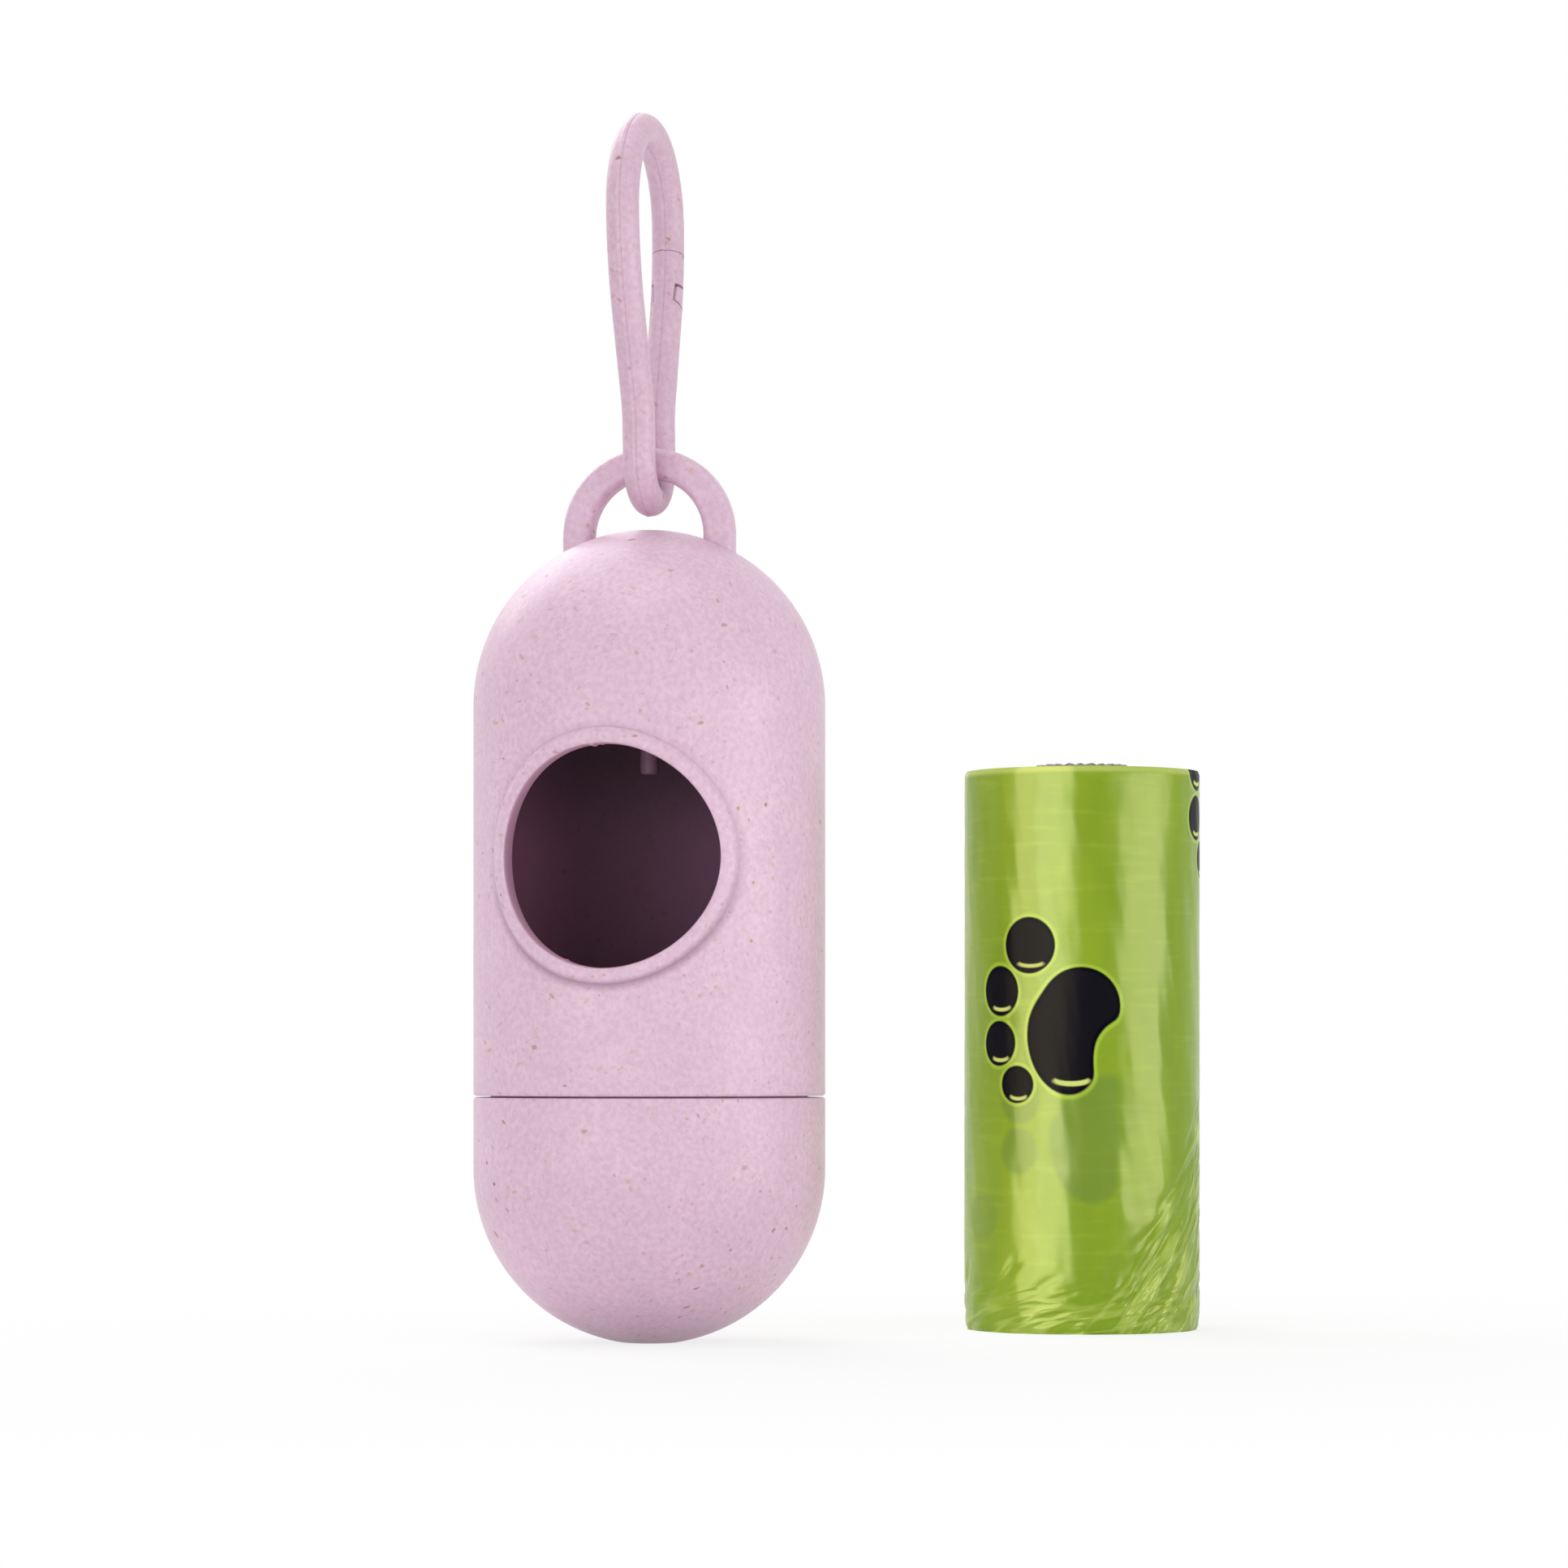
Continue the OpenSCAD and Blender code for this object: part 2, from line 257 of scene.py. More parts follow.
class Nodes:
    """One node tree, for a material or for geometry."""

    def __init__(self, tree):
        self.tree = tree

    def add(self, kind, settings=None, values=None, out=0):
        node = self.tree.nodes.new(kind)
        for name, value in (settings or {}).items():
            setattr(node, name, value)
        for key, value in (values or {}).items():
            if isinstance(value, Field):
                self.tree.links.new(value.socket, node.inputs[key])
            else:
                node.inputs[key].default_value = value
        return Field(self, node.outputs[out])

    def mix(self, share, first, second):
        """Colour mix. A colour is a Field or an sRGB triple."""
        first, second = (c if isinstance(c, Field) else srgb(*c) for c in (first, second))
        return self.add("ShaderNodeMix", {"data_type": "RGBA"}, {0: share, 6: first, 7: second}, 2)

    def noise(self, place, size, detail=2.0, rough=0.5, out=0):
        """Noise with features of about this size in metres."""
        return self.add("ShaderNodeTexNoise", {}, {
            "Vector": place, "Scale": 1 / size, "Detail": detail, "Roughness": rough}, out)

    def stretched(self, place, turn, scale, shift=(0, 0, 0)):
        """Coordinates in which a pattern comes out turned, and longer by these factors."""
        return self.add("ShaderNodeMapping", {"vector_type": "TEXTURE"}, {
            "Vector": place, "Location": shift, "Rotation": [math.radians(a) for a in turn],
            "Scale": scale})

    def part(self, vector, axis):
        return self.add("ShaderNodeSeparateXYZ", {}, {0: vector}, axis)

    def part_mm(self, place, axis):
        """One part, in mm, of a place that is in metres."""
        return self.part(place, axis) * 1000

    def point(self, **parts):
        """A vector from its parts, where one that isn't given is 0."""
        return self.add("ShaderNodeCombineXYZ", {}, parts)

    def length(self, vector):
        return self.add("ShaderNodeVectorMath", {"operation": "LENGTH"}, {0: vector}, 1)

    def end_with(self, share, first, second):
        """Ends a material with its first shader, and with the second where share is 1."""
        mixed = self.add("ShaderNodeMixShader", {}, {0: share, 1: first, 2: second})
        self.tree.links.new(mixed.socket, self.tree.nodes["Material Output"].inputs["Surface"])

    def seen(self):
        """1 for the camera's own rays and those in mirrors and glass, 0 for rays of light."""
        path = self.tree.nodes.new("ShaderNodeLightPath")
        camera, glossy, through = (Field(self, path.outputs[name]) for name in (
            "Is Camera Ray", "Is Glossy Ray", "Is Transmission Ray"))
        return camera.larger(glossy).larger(through)

    def bump(self, height, distance, strength=1.0):
        return self.add("ShaderNodeBump", {}, {
            "Height": height, "Distance": distance, "Strength": strength})


def srgb(red, green, blue):
    """Linear colour with alpha from an 8-bit sRGB triple."""
    linear = [c / 255 / 12.92 if c <= 10 else ((c / 255 + 0.055) / 1.055) ** 2.4
              for c in (red, green, blue)]
    return (*linear, 1.0)


def new_material(name, specular=0.5):
    material = bpy.data.materials.new(name)
    material.use_nodes = True
    shader = material.node_tree.nodes["Principled BSDF"]
    shader.inputs["Specular IOR Level"].default_value = specular
    return material, Nodes(material.node_tree), shader


def feed(nodes, shader, **values):
    """Sets or links a shader's sockets, whose names have _ for a space here."""
    for name, value in values.items():
        socket = shader.inputs[name.replace("_", " ")]
        if isinstance(value, Field):
            nodes.tree.links.new(value.socket, socket)
        else:
            socket.default_value = value


# ---- Materials

def paint_shade_in_case(n, place, colour):
    """Paints shade into the case's colour: its hollow darker at the back and top, its peg darker,
    its bag hole's wall pinker for the light bounced in it, and a painted shadow at the rim's foot.
    Returns where it is dull, too.
    """
    x, y, z = (n.part_mm(place, axis) for axis in range(3))
    away, over = n.length(n.point(X=x, Y=y)), (z - DOME_CENTRE_Z).larger(0.0)
    hollow = n.length(n.point(X=away, Y=over)).ramp(CHAMBER_R + 0.06, CHAMBER_R + 0.03)
    hollow = hollow * z.ramp(29, 41)
    # Painted shade: the back of the hollow is coloured darker, darkest near the top, for the shade
    # inside the case.
    inner = hollow * y.ramp(-4, 3)
    shade = n.mix(y.ramp(14, 4), (112, 71, 95), (206, 144, 178))
    shade = n.mix(x.ramp(-8, 4) * 0.5, shade, (156, 110, 142))
    shade = n.mix(z.ramp(54, 66) * 0.6, shade, (60, 36, 50))
    colour = n.mix(inner * 0.9, colour, shade)
    # Painted shade: the peg is coloured darker, for the shade in the hollow.
    peg = hollow * away.ramp(PEG_R + 0.8, PEG_R + 0.2)
    colour = n.mix(peg * 0.8, colour, (120, 84, 106))
    up, front, foot = z - HOLE_Z, y.ramp(-10, -12), HOLE_R + RIM_W
    reach = n.length(n.point(X=x, Y=up))
    # Painted bounce light: the bag hole's wall is coloured pinker and darker, as light bounced
    # inside the case makes it.
    bore_bounce_light = reach.ramp(HOLE_R + 0.12, HOLE_R + 0.036) * front
    colour = n.mix(bore_bounce_light * 0.7, colour, (200, 140, 170))
    # Painted shadow in the crease round the rim's foot, stronger below the hole.
    foot_shadow = reach.ramp(foot - 0.6, foot) * reach.ramp(foot + 1.0, foot) * front
    colour = n.mix(foot_shadow * (up.ramp(4, -12) * 0.5 + 0.15), colour, (160, 118, 146))
    return colour, inner.larger(bore_bounce_light)


def speckled_plastic(name, painted_shade):
    """Satin moulded plastic with plant fibres in it, and painted shade in the case's hollow. The
    second argument darkens all of it, a painted shade.
    """
    material, n, shader = new_material(name)
    place = n.add("ShaderNodeTexCoord", out=3)
    wobble = n.noise(place, 0.0005, 2.0, out=1)
    bent = n.add("ShaderNodeMix", {"data_type": "VECTOR"}, {0: 0.0003, 4: place, 5: wobble}, 1)
    cloud = n.noise(place, 0.005, 3.0, 0.6).ramp(0.32, 0.68)
    grain = n.noise(place, 0.0006, 3.0, 0.6).ramp(0.3, 0.7)
    colour = n.mix(grain, (216, 181, 200), (230, 199, 218))
    colour = n.mix(cloud * 0.3, colour, (212, 180, 206))
    strewn = n.noise(place, 0.009, 2.0).ramp(0.38, 0.6) * 0.6 + 0.55
    for turn, length, cell, wide, share, strength, tone in FLECKS:
        aimed = n.stretched(bent, turn, (1, 1, length), (cell, 2 * cell, 3 * cell))
        cells = {"Vector": aimed, "Scale": 1 / cell}
        near = n.add("ShaderNodeTexVoronoi", {}, cells)
        chance = n.add("ShaderNodeTexVoronoi", {}, cells, 1)
        draw, large, strong = (n.part(chance, axis) for axis in range(3))
        fleck = (near / ((large * 0.4 + 0.6) * (wide / cell))).ramp(1.0, 0.6)
        chosen = draw.ramp(share + 0.01, share - 0.01) * (strong * 0.6 + 0.4) * strewn
        colour = n.mix(fleck * chosen * strength, colour, tone)
    # Painted shade: the whole copy is darkened by this share.
    colour = n.mix(painted_shade, colour, (172, 130, 142))
    colour, dull = paint_shade_in_case(n, place, colour)
    skin = n.noise(place, 0.0005, 3.0, 0.6) * 0.5 + n.noise(place, 0.006, 1.0) * 1.5
    feed(n, shader, Base_Color=colour, Normal=n.bump(skin, 0.00003, 0.6),
         Roughness=0.36 + cloud * 0.05 + grain * 0.05 + dull * 0.4)
    return material


def film_paw(n, across, up, toes):
    """A paw print of this dispenser's own design, as a distance in mm, with its highlights."""
    spot = n.point(X=across, Y=up)

    def oval(x, z, wide, high, turn=0):
        inside = n.stretched(spot, (0, 0, turn), (wide, high, 1), (x, z, 0))
        return (n.length(inside) - 1) * min(wide, high)

    def crescent(x, z, wide, high):
        return oval(x, z, wide, high).larger(-oval(x, z + high * 1.25, wide * 1.14, high * 1.3))

    shape = oval(*PAD_TOP).smaller(oval(*PAD_FOOT), 1.6)
    shape = shape.larger(-oval(*PAD_NOTCH), 1.2)
    shine = crescent(*PAD_SHINE)
    for x, z, wide, high, turn in toes:
        shape = shape.smaller(oval(x, z, wide, high, turn))
        shine = shine.smaller(crescent(x + 0.2, z - high * 0.66, wide * 0.5, 0.42))
    return shape, shine


def printed_film():
    """Glossy green film with paw prints, the print of the next turn showing through, and painted
    highlights on its creases and along its top edge.
    """
    material, n, shader = new_material("printed_film", specular=0.3)
    unrolled = n.add("ShaderNodeUVMap", {"uv_map": "unrolled"})
    around, up = (n.part_mm(unrolled, axis) for axis in range(2))
    column = ((around - PRINT_EDGE) / PRINT_COLUMN).math("FLOOR")
    row = (up - column * PRINT_STEP).math("WRAP", PRINT_FOOT + PRINT_REPEAT, PRINT_FOOT)
    shape, shine = film_paw(n, around - column * PRINT_COLUMN, row, TOES)
    under, _ = film_paw(n, around - UNDER_ASIDE, up + UNDER_DROP, UNDER_TOES)

    def drawn(turn, scale, size, detail=3.0, rough=0.5):
        """Noise on the film, turned and drawn out by these factors."""
        return n.noise(n.stretched(unrolled, (0, 0, turn), (*scale, 1)), size, detail, rough)

    def folds(turn, size, area):
        """Sharp creases along one direction, over part of the film."""
        return (1 - abs(drawn(turn, (5, 1), size, 2.0) * 2 - 1) * 6).larger(0.0) * area

    low_right = ((around - 0.7) * 1.45 - up).ramp(-3, 5)
    creased = folds(50, 0.003, low_right) * 6 + folds(12, 0.0026, up.ramp(7, 1.5)) * 4
    streaks = drawn(0, (8, 1), 0.0012, rough=0.6)
    tone = drawn(0, (1, 3), 0.009, rough=0.55).ramp(0.3, 0.7)
    green = n.mix(tone, (118, 148, 6), (133, 160, 18))
    green = n.mix(streaks.ramp(0.5, 0.75) * 0.25, green, (160, 184, 50))
    faint = (around.ramp(5.4, 3.6) * 0.4 + 0.14) * (around.ramp(-12.5, -9.0) * 0.55 + 0.45)
    green = n.mix(under.ramp(0.5, -0.4) * faint, green, (92, 122, 40))
    green = n.mix(shape.ramp(0.55, 0.15) * 0.55, green, (176, 208, 56))
    # Painted highlight: the creases are coloured lighter, like glints along them.
    green = n.mix(creased.ramp(0.5, 5.0) * 0.4, green, (200, 216, 110))
    # Painted highlight: a lighter line along the film's top edge.
    green = n.mix(up.ramp(ROLL_L - 0.9, ROLL_L - 0.4) * 0.5, green, (204, 218, 118))
    ink = n.mix(shape.ramp(-0.3, -0.55), (3, 2, 18), (15, 14, 21))
    ink = n.mix(shine.ramp(0.1, -0.1), ink, (206, 216, 120))
    pull, sway = drawn(0, (4, 1), 0.0045), drawn(8, (1, 3), 0.006, 2.0)
    skin = n.bump(streaks * 0.25 + pull * 1.2 + sway * 13 + creased, 0.00006, 0.7)
    feed(n, shader, Base_Color=green, Roughness=0.21 + tone * 0.03 + streaks * 0.03, Normal=skin)
    dull = n.add("ShaderNodeBsdfPrincipled", {}, {
        "Base Color": ink, "Roughness": 0.3, "Specular IOR Level": 0.03, "Normal": skin})
    n.end_with(shape.ramp(0.12, -0.12), Field(n, shader.outputs[0]), dull)
    return material


def wound_film():
    """The strip's mottled, folded edges at the ends of the roll, and its green outside."""
    material, n, shader = new_material("wound_film")
    place = n.add("ShaderNodeTexCoord", out=3)
    blotch = n.noise(place, 0.0018, 3.0, 0.6).ramp(0.3, 0.72)
    fine = n.noise(place, 0.0004, 2.0).ramp(0.35, 0.7)
    colour = n.mix(blotch, (146, 172, 50), (196, 214, 104))
    colour = n.mix(fine * 0.4, colour, (112, 136, 34))
    z = n.part_mm(place, 2)
    flank = z.ramp(1, 2) * z.ramp(ROLL_L - 1.6, ROLL_L - 2.6)
    colour = n.mix(flank, colour, (130, 158, 14))
    feed(n, shader, Base_Color=colour, Roughness=0.26 + blotch * 0.14,
         Normal=n.bump((fine + blotch) * (1.1 - flank), 0.00005, 0.8))
    return material


def grey_board():
    """Rolled grey card with its spiral joint and fibres."""
    material, n, shader = new_material("grey_board", specular=0.2)
    place = n.add("ShaderNodeTexCoord", out=3)
    x, y, z = (n.part_mm(place, axis) for axis in range(3))
    turn = (y - ROLL_AXIS[1]).math("ARCTAN2", x - ROLL_AXIS[0]) / (2 * math.pi)
    joint = (z / 24 - turn).math("PINGPONG", 0.5).ramp(0.012, 0.0)
    fibre = n.noise(n.stretched(place, (0, 0, 0), (1, 1, 3)), 0.0004, 4.0, 0.65)
    colour = n.mix(fibre.ramp(0.35, 0.7), (134, 126, 118), (168, 160, 148))
    colour = n.mix(joint * 0.5, colour, (92, 84, 78))
    feed(n, shader, Base_Color=colour, Roughness=0.86, Normal=n.bump(fibre - joint, 0.00008, 0.8))
    return material


def pale_floor():
    """Matt white that keeps a faint shadow near the object and runs out into the backdrop."""
    material, n, shader = new_material("pale_floor", specular=0.0)
    feed(n, shader, Base_Color=(0.95, 0.95, 0.95, 1), Roughness=0.9)
    away = n.length(n.add("ShaderNodeTexCoord", out=3))
    glow = n.add("ShaderNodeEmission", {}, {"Color": (1, 1, 1, 1), "Strength": 1.0})
    n.end_with((away.ramp(0.06, 0.2) * 0.2 + 0.8) * n.seen(), Field(n, shader.outputs[0]), glow)
    return material


def white_world():
    """White where it is seen, and dimmer as a light."""
    world = bpy.data.worlds.new("studio")
    bpy.context.scene.world = world
    world.use_nodes = True
    n = Nodes(world.node_tree)
    feed(n, n.tree.nodes["Background"], Color=(1, 1, 1, 1),
         Strength=ROOM_LIGHT + n.seen() * (1 - ROOM_LIGHT))


# ---- Mesh tools

def finish_mesh(name, verts, faces, place=None):
    """A clean mesh from points in mm."""
    mesh = bpy.data.meshes.new(name)
    mesh.from_pydata(verts, [], faces)
    return clean_mesh(mesh, place)


def clean_mesh(mesh, place=None):
    """The mesh, made in mm, put in its place in metres with doubles merged and faces outwards."""
    shape = bmesh.new()
    shape.from_mesh(mesh)
    if place is not None:
        bmesh.ops.transform(shape, matrix=place, verts=shape.verts)
    bmesh.ops.scale(shape, vec=(MM, MM, MM), verts=shape.verts)
    bmesh.ops.remove_doubles(shape, verts=shape.verts, dist=0.000002)
    bmesh.ops.recalc_face_normals(shape, faces=shape.faces)
    shape.to_mesh(mesh)
    shape.free()
    return mesh


def lathe(name, profile, steps=192, place=None):
    """Solid of revolution about Z. A profile point at radius 0 closes a pole."""
    verts, rows, faces = [], [], []
    for radius, z in profile:
        count = 1 if radius < 1e-6 else steps
        rows.append(range(len(verts), len(verts) + count))
        verts += [(radius * math.cos(2 * math.pi * i / steps),
                   radius * math.sin(2 * math.pi * i / steps), z) for i in range(count)]
    pairs = list(zip(rows, rows[1:]))
    if len(rows[0]) > 1:
        pairs.append((rows[-1], rows[0]))
    for low, high in pairs:
        for i in range(steps):
            a, b = low[i % len(low)], low[(i + 1) % steps % len(low)]
            c, d = high[(i + 1) % steps % len(high)], high[i % len(high)]
            faces.append(list(dict.fromkeys((a, b, c, d))))
    return finish_mesh(name, verts, faces, place)


def loop_mesh(name, rows, place=None):
    """Closed surface through rows of points, closed along each row and from last row to first."""
    count, total = len(rows[0]), len(rows)
    verts = [point for row in rows for point in row]
    faces = [[r * count + i, r * count + (i + 1) % count,
              (r + 1) % total * count + (i + 1) % count, (r + 1) % total * count + i]
             for r in range(total) for i in range(count)]
    return finish_mesh(name, verts, faces, place)


def arc(centre, radius, first, last, step=0.35):
    """Points along an arc, both ends included."""
    count = max(2, round(abs(math.radians(last - first)) * radius / step))
    turns = [math.radians(first + (last - first) * i / count) for i in range(count + 1)]
    return [(centre[0] + radius * math.cos(a), centre[1] + radius * math.sin(a)) for a in turns]


def straight(start, end, step=0.8):
    """Points from start to end, both included."""
    count = max(1, round(math.dist(start, end) / step))
    (x, y), (far_x, far_y) = start, end
    return [(x + (far_x - x) * i / count, y + (far_y - y) * i / count) for i in range(count + 1)]


def path_of(*stretches):
    """One path from stretches that follow each other."""
    points = []
    for stretch in stretches:
        points += [p for p in stretch if not points or math.dist(p, points[-1]) > 0.01]
    return points


def evaluated_mesh(piece):
    """The mesh of an object with its modifiers applied."""
    bpy.context.view_layer.update()
    ready = piece.evaluated_get(bpy.context.evaluated_depsgraph_get())
    return bpy.data.meshes.new_from_object(ready)


def grown(name, tree, path=None):
    """Mesh that a geometry tree makes with its own sizes, on a path or by itself."""
    if path:
        data = bpy.data.curves.new(name, "CURVE")
        data.dimensions = "3D"
        spline = data.splines.new("POLY")
        spline.points.add(len(path) - 1)
        for point, (x, y) in zip(spline.points, path):
            point.co = (x, y, 0, 1)
    else:
        data = bpy.data.meshes.new(name)
    helper = add_object(name, data)
    modifier = helper.modifiers.new("shape", "NODES")
    modifier.node_group = tree
    mesh = evaluated_mesh(helper)
    bpy.data.objects.remove(helper)
    return mesh


def new_tree(name, sizes):
    """Geometry tree with named sizes. Returns its nodes, and its inputs by name."""
    tree = bpy.data.node_groups.new(name, "GeometryNodeTree")
    tree.interface.new_socket("Geometry", in_out="INPUT", socket_type="NodeSocketGeometry")
    tree.interface.new_socket("Geometry", in_out="OUTPUT", socket_type="NodeSocketGeometry")
    for size, value in sizes.items():
        kind = "NodeSocketInt" if isinstance(value, int) else "NodeSocketFloat"
        tree.interface.new_socket(size, in_out="INPUT", socket_type=kind).default_value = value
    n = Nodes(tree)
    start = tree.nodes.new("NodeGroupInput")
    inputs = {socket.name: Field(n, socket) for socket in start.outputs if socket.name}
    return n, inputs


def swept(n, path, profile):
    """A profile swept along a path that lies flat, with closed ends."""
    flat = n.add("GeometryNodeSetCurveNormal", {"mode": "Z_UP"}, {0: path})
    return n.add("GeometryNodeCurveToMesh", {}, {
        "Curve": flat, "Profile Curve": profile, "Fill Caps": True})


def end_tree(n, geometry, material):
    """Ends a geometry tree with one real mesh of this material."""
    real = n.add("GeometryNodeRealizeInstances", {}, {0: geometry})
    coloured = n.add("GeometryNodeSetMaterial", {}, {0: real, "Material": material})
    output = n.tree.nodes.new("NodeGroupOutput")
    n.tree.links.new(coloured.socket, output.inputs[0])
    return n.tree


def cut(mesh, tool):
    """The mesh with the tool's solid taken away."""
    piece, blank = add_object("being_cut", mesh), add_object("tool", tool)
    modifier = piece.modifiers.new("cut", "BOOLEAN")
    modifier.operation, modifier.solver, modifier.object = "DIFFERENCE", "EXACT", blank
    result = evaluated_mesh(piece)
    for item in (piece, blank):
        bpy.data.objects.remove(item)
    return result


def joined(name, meshes):
    """One mesh of several, which stay apart in it."""
    shape = bmesh.new()
    for mesh in meshes:
        shape.from_mesh(mesh)
    result = bpy.data.meshes.new(name)
    shape.to_mesh(result)
    shape.free()
    return result


def add_piece(name, mesh, material, nodes, body=None, sharp=35):
    """Puts a finished mesh in the scene for the CAD nodes that it stands for."""
    mesh.name = name
    mesh.materials.clear()
    mesh.materials.append(material)
    mesh.shade_smooth()
    mesh.set_sharp_from_angle(angle=math.radians(sharp))
    piece = add_object(name, mesh)
    if body:
        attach(piece, body)
    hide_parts(*nodes)
    return piece


# ---- Case and cap

def seam_edge(side):
    """The rounded edge next to the seam, from outside inwards. side is 1 above it, -1 below."""
    centre = (CASE_R - EDGE_R, SEAM_Z + side * (SEAM_GAP + EDGE_R))
    return arc(centre, EDGE_R, 0, -90 * side, EDGE_STEP)


def cap_mesh():
    """Round lower end with the socket for the neck."""
    foot_r = math.sqrt(CASE_R ** 2 - CAP_CENTRE_Z ** 2)
    bottom = math.degrees(math.asin(-CAP_CENTRE_Z / CASE_R))
    outside = [(0, 0), (foot_r * 0.5, 0)] + arc((0, CAP_CENTRE_Z), CASE_R, bottom, 0, 0.5)
    socket = [(SOCKET_R + 0.2, SEAM_Z - SEAM_GAP), (SOCKET_R, SEAM_Z - 0.25),
              (SOCKET_R, SOCKET_FLOOR_Z), (CHAMBER_R, SOCKET_FLOOR_Z)]
    inside = arc((0, CAP_CENTRE_Z), CHAMBER_R, 0, -90, 0.8)
    inside[-1] = (0, inside[-1][1])
    return lathe("cap", outside + seam_edge(-1) + socket + inside)


def shell_mesh():
    """Barrel, dome and neck, with the bag hole cut a little wide, under its rim."""
    dome = arc((0, DOME_CENTRE_Z), CASE_R, 90, 0, 0.5)
    dome[0] = (0, dome[0][1])
    barrel = straight((CASE_R, DOME_CENTRE_Z), (CASE_R, SEAM_Z + 0.35), 1.5)[1:]
    neck = [(NECK_R, SEAM_Z + SEAM_GAP), (NECK_R, NECK_FOOT_Z + 0.5),
            (NECK_R - 0.3, NECK_FOOT_Z), (NECK_BORE_R, NECK_FOOT_Z),
            (NECK_BORE_R, SEAM_Z + 1.6), (CHAMBER_R, SEAM_Z + 2.91)]
    inside = straight((CHAMBER_R, SEAM_Z + 3.5), (CHAMBER_R, DOME_CENTRE_Z), 2)
    ceiling = arc((0, DOME_CENTRE_Z), CHAMBER_R, 0, 90, 0.8)[1:]
    ceiling[-1] = (0, ceiling[-1][1])
    shell = lathe("shell", dome + barrel + seam_edge(1) + neck + inside + ceiling)
    to_front = Matrix.Translation((0, 0, HOLE_Z)) @ Matrix.Rotation(math.pi / 2, 4, "X")
    wide, near, far = HOLE_R + 0.8, 8, 26
    drill = lathe("drill", [(0, near), (wide, near), (wide, far), (0, far)], 128, to_front)
    return cut(shell, drill)


def rim_mesh():
    """Rounded bead round the bag hole, following the barrel, with the mould's small nicks."""
    crest, foot = CASE_R + RIM_H - 0.005, HOLE_R + RIM_W
    section = [
        (HOLE_R + 0.25, CHAMBER_R - 0.02), (HOLE_R + 0.07, CHAMBER_R + 0.06),
        (HOLE_R, CHAMBER_R + 0.25), (HOLE_R, CASE_R - 0.4), (HOLE_R, CASE_R + 0.05),
        (HOLE_R + 0.04, crest - 0.34), (HOLE_R + 0.15, crest - 0.16),
        (HOLE_R + 0.34, crest - 0.05), (HOLE_R + 0.6, crest), (HOLE_R + 0.9, crest),
        (HOLE_R + 1.15, crest - 0.04), (foot - 0.38, crest - 0.13), (foot - 0.18, crest - 0.26),
        (foot - 0.05, crest - 0.4), (foot, crest - 0.5), (foot - 0.06, crest - 0.58),
        (foot - 0.14, crest - 0.68), (foot - 0.2, crest - 0.9), (foot - 0.6, crest - 1.2),
        (HOLE_R + 1.1, CHAMBER_R + 0.3), (HOLE_R + 1.2, CHAMBER_R - 0.02)]
    # Where a nick is round the hole and how wide, in degrees, with its depth between them.
    nicks = [(96, 0.2, 1.2), (92, 0.1, 0.7), (248, 0.14, 1.0)]
    rows = []
    for step in range(360):
        turn = math.radians(step)
        row = []
        for reach, height in section:
            inward = sum(depth * math.exp(-((step - at) / wide) ** 2) for at, depth, wide in nicks)
            away = reach - inward * max(0, 1 - (reach - HOLE_R) / 0.6)
            x, up = away * math.cos(turn), away * math.sin(turn)
            row.append((x, -math.sqrt(height ** 2 - x ** 2), HOLE_Z + up))
        rows.append(row)
    return loop_mesh("rim", rows)


def peg_mesh():
    """Pin hanging down the middle of the case, with a spread root under the dome."""
    ceiling, spread = DOME_CENTRE_Z + CHAMBER_R, 2.4
    tip = [(0, PEG_TIP_Z), (0.66, PEG_TIP_Z), (0.9, PEG_TIP_Z + 0.1), (PEG_R, PEG_TIP_Z + 0.4)]
    root = [(PEG_R, ceiling - 3.0), (PEG_R + 0.3, ceiling - 1.6), (PEG_R + 0.8, ceiling - 0.7),
            (spread, ceiling), (spread, ceiling + 0.3), (0, ceiling + 0.5)]
    return lathe("peg", tip + root, 48)


# The ring's and the hook's paths are drawn in the XY plane. These turn Y up: the first turns
# the ring into the XZ plane, and the second the hook into the YZ plane.
ACROSS = Matrix(((1, 0, 0, 0), (0, 0, -1, 0), (0, 1, 0, 0), (0, 0, 0, 1)))
UPRIGHT = Matrix(((0, 0, 1, 0), (1, 0, 0, 0), (0, 1, 0, 0), (0, 0, 0, 1)))


def ring_tree(material):
    """A rounded rectangle swept along a path."""
    n, size = new_tree("hanging_ring", {
        "Width": RING_W, "Thickness": RING_T, "Edge": RING_EDGE_R, "Edge steps": 8})
    profile = n.add("GeometryNodeCurvePrimitiveQuadrilateral", {}, {
        "Width": size["Width"], "Height": size["Thickness"]})
    rounded = n.add("GeometryNodeFilletCurve", {"mode": "POLY"}, {
        "Curve": profile, "Count": size["Edge steps"], "Radius": size["Edge"]})
    return end_tree(n, swept(n, size["Geometry"], rounded), material)


def ring_mesh(material):
    """Hanging ring: a half round on two legs that go into the dome."""
    path = path_of(straight((-RING_R, RING_FOOT_Z), (-RING_R, RING_CENTRE_Z)),
                   arc((0, RING_CENTRE_Z), RING_R, 180, 0),
                   straight((RING_R, RING_CENTRE_Z), (RING_R, RING_FOOT_Z)))
    return clean_mesh(grown("ring", ring_tree(material), path), ACROSS)


# ---- Snap hook

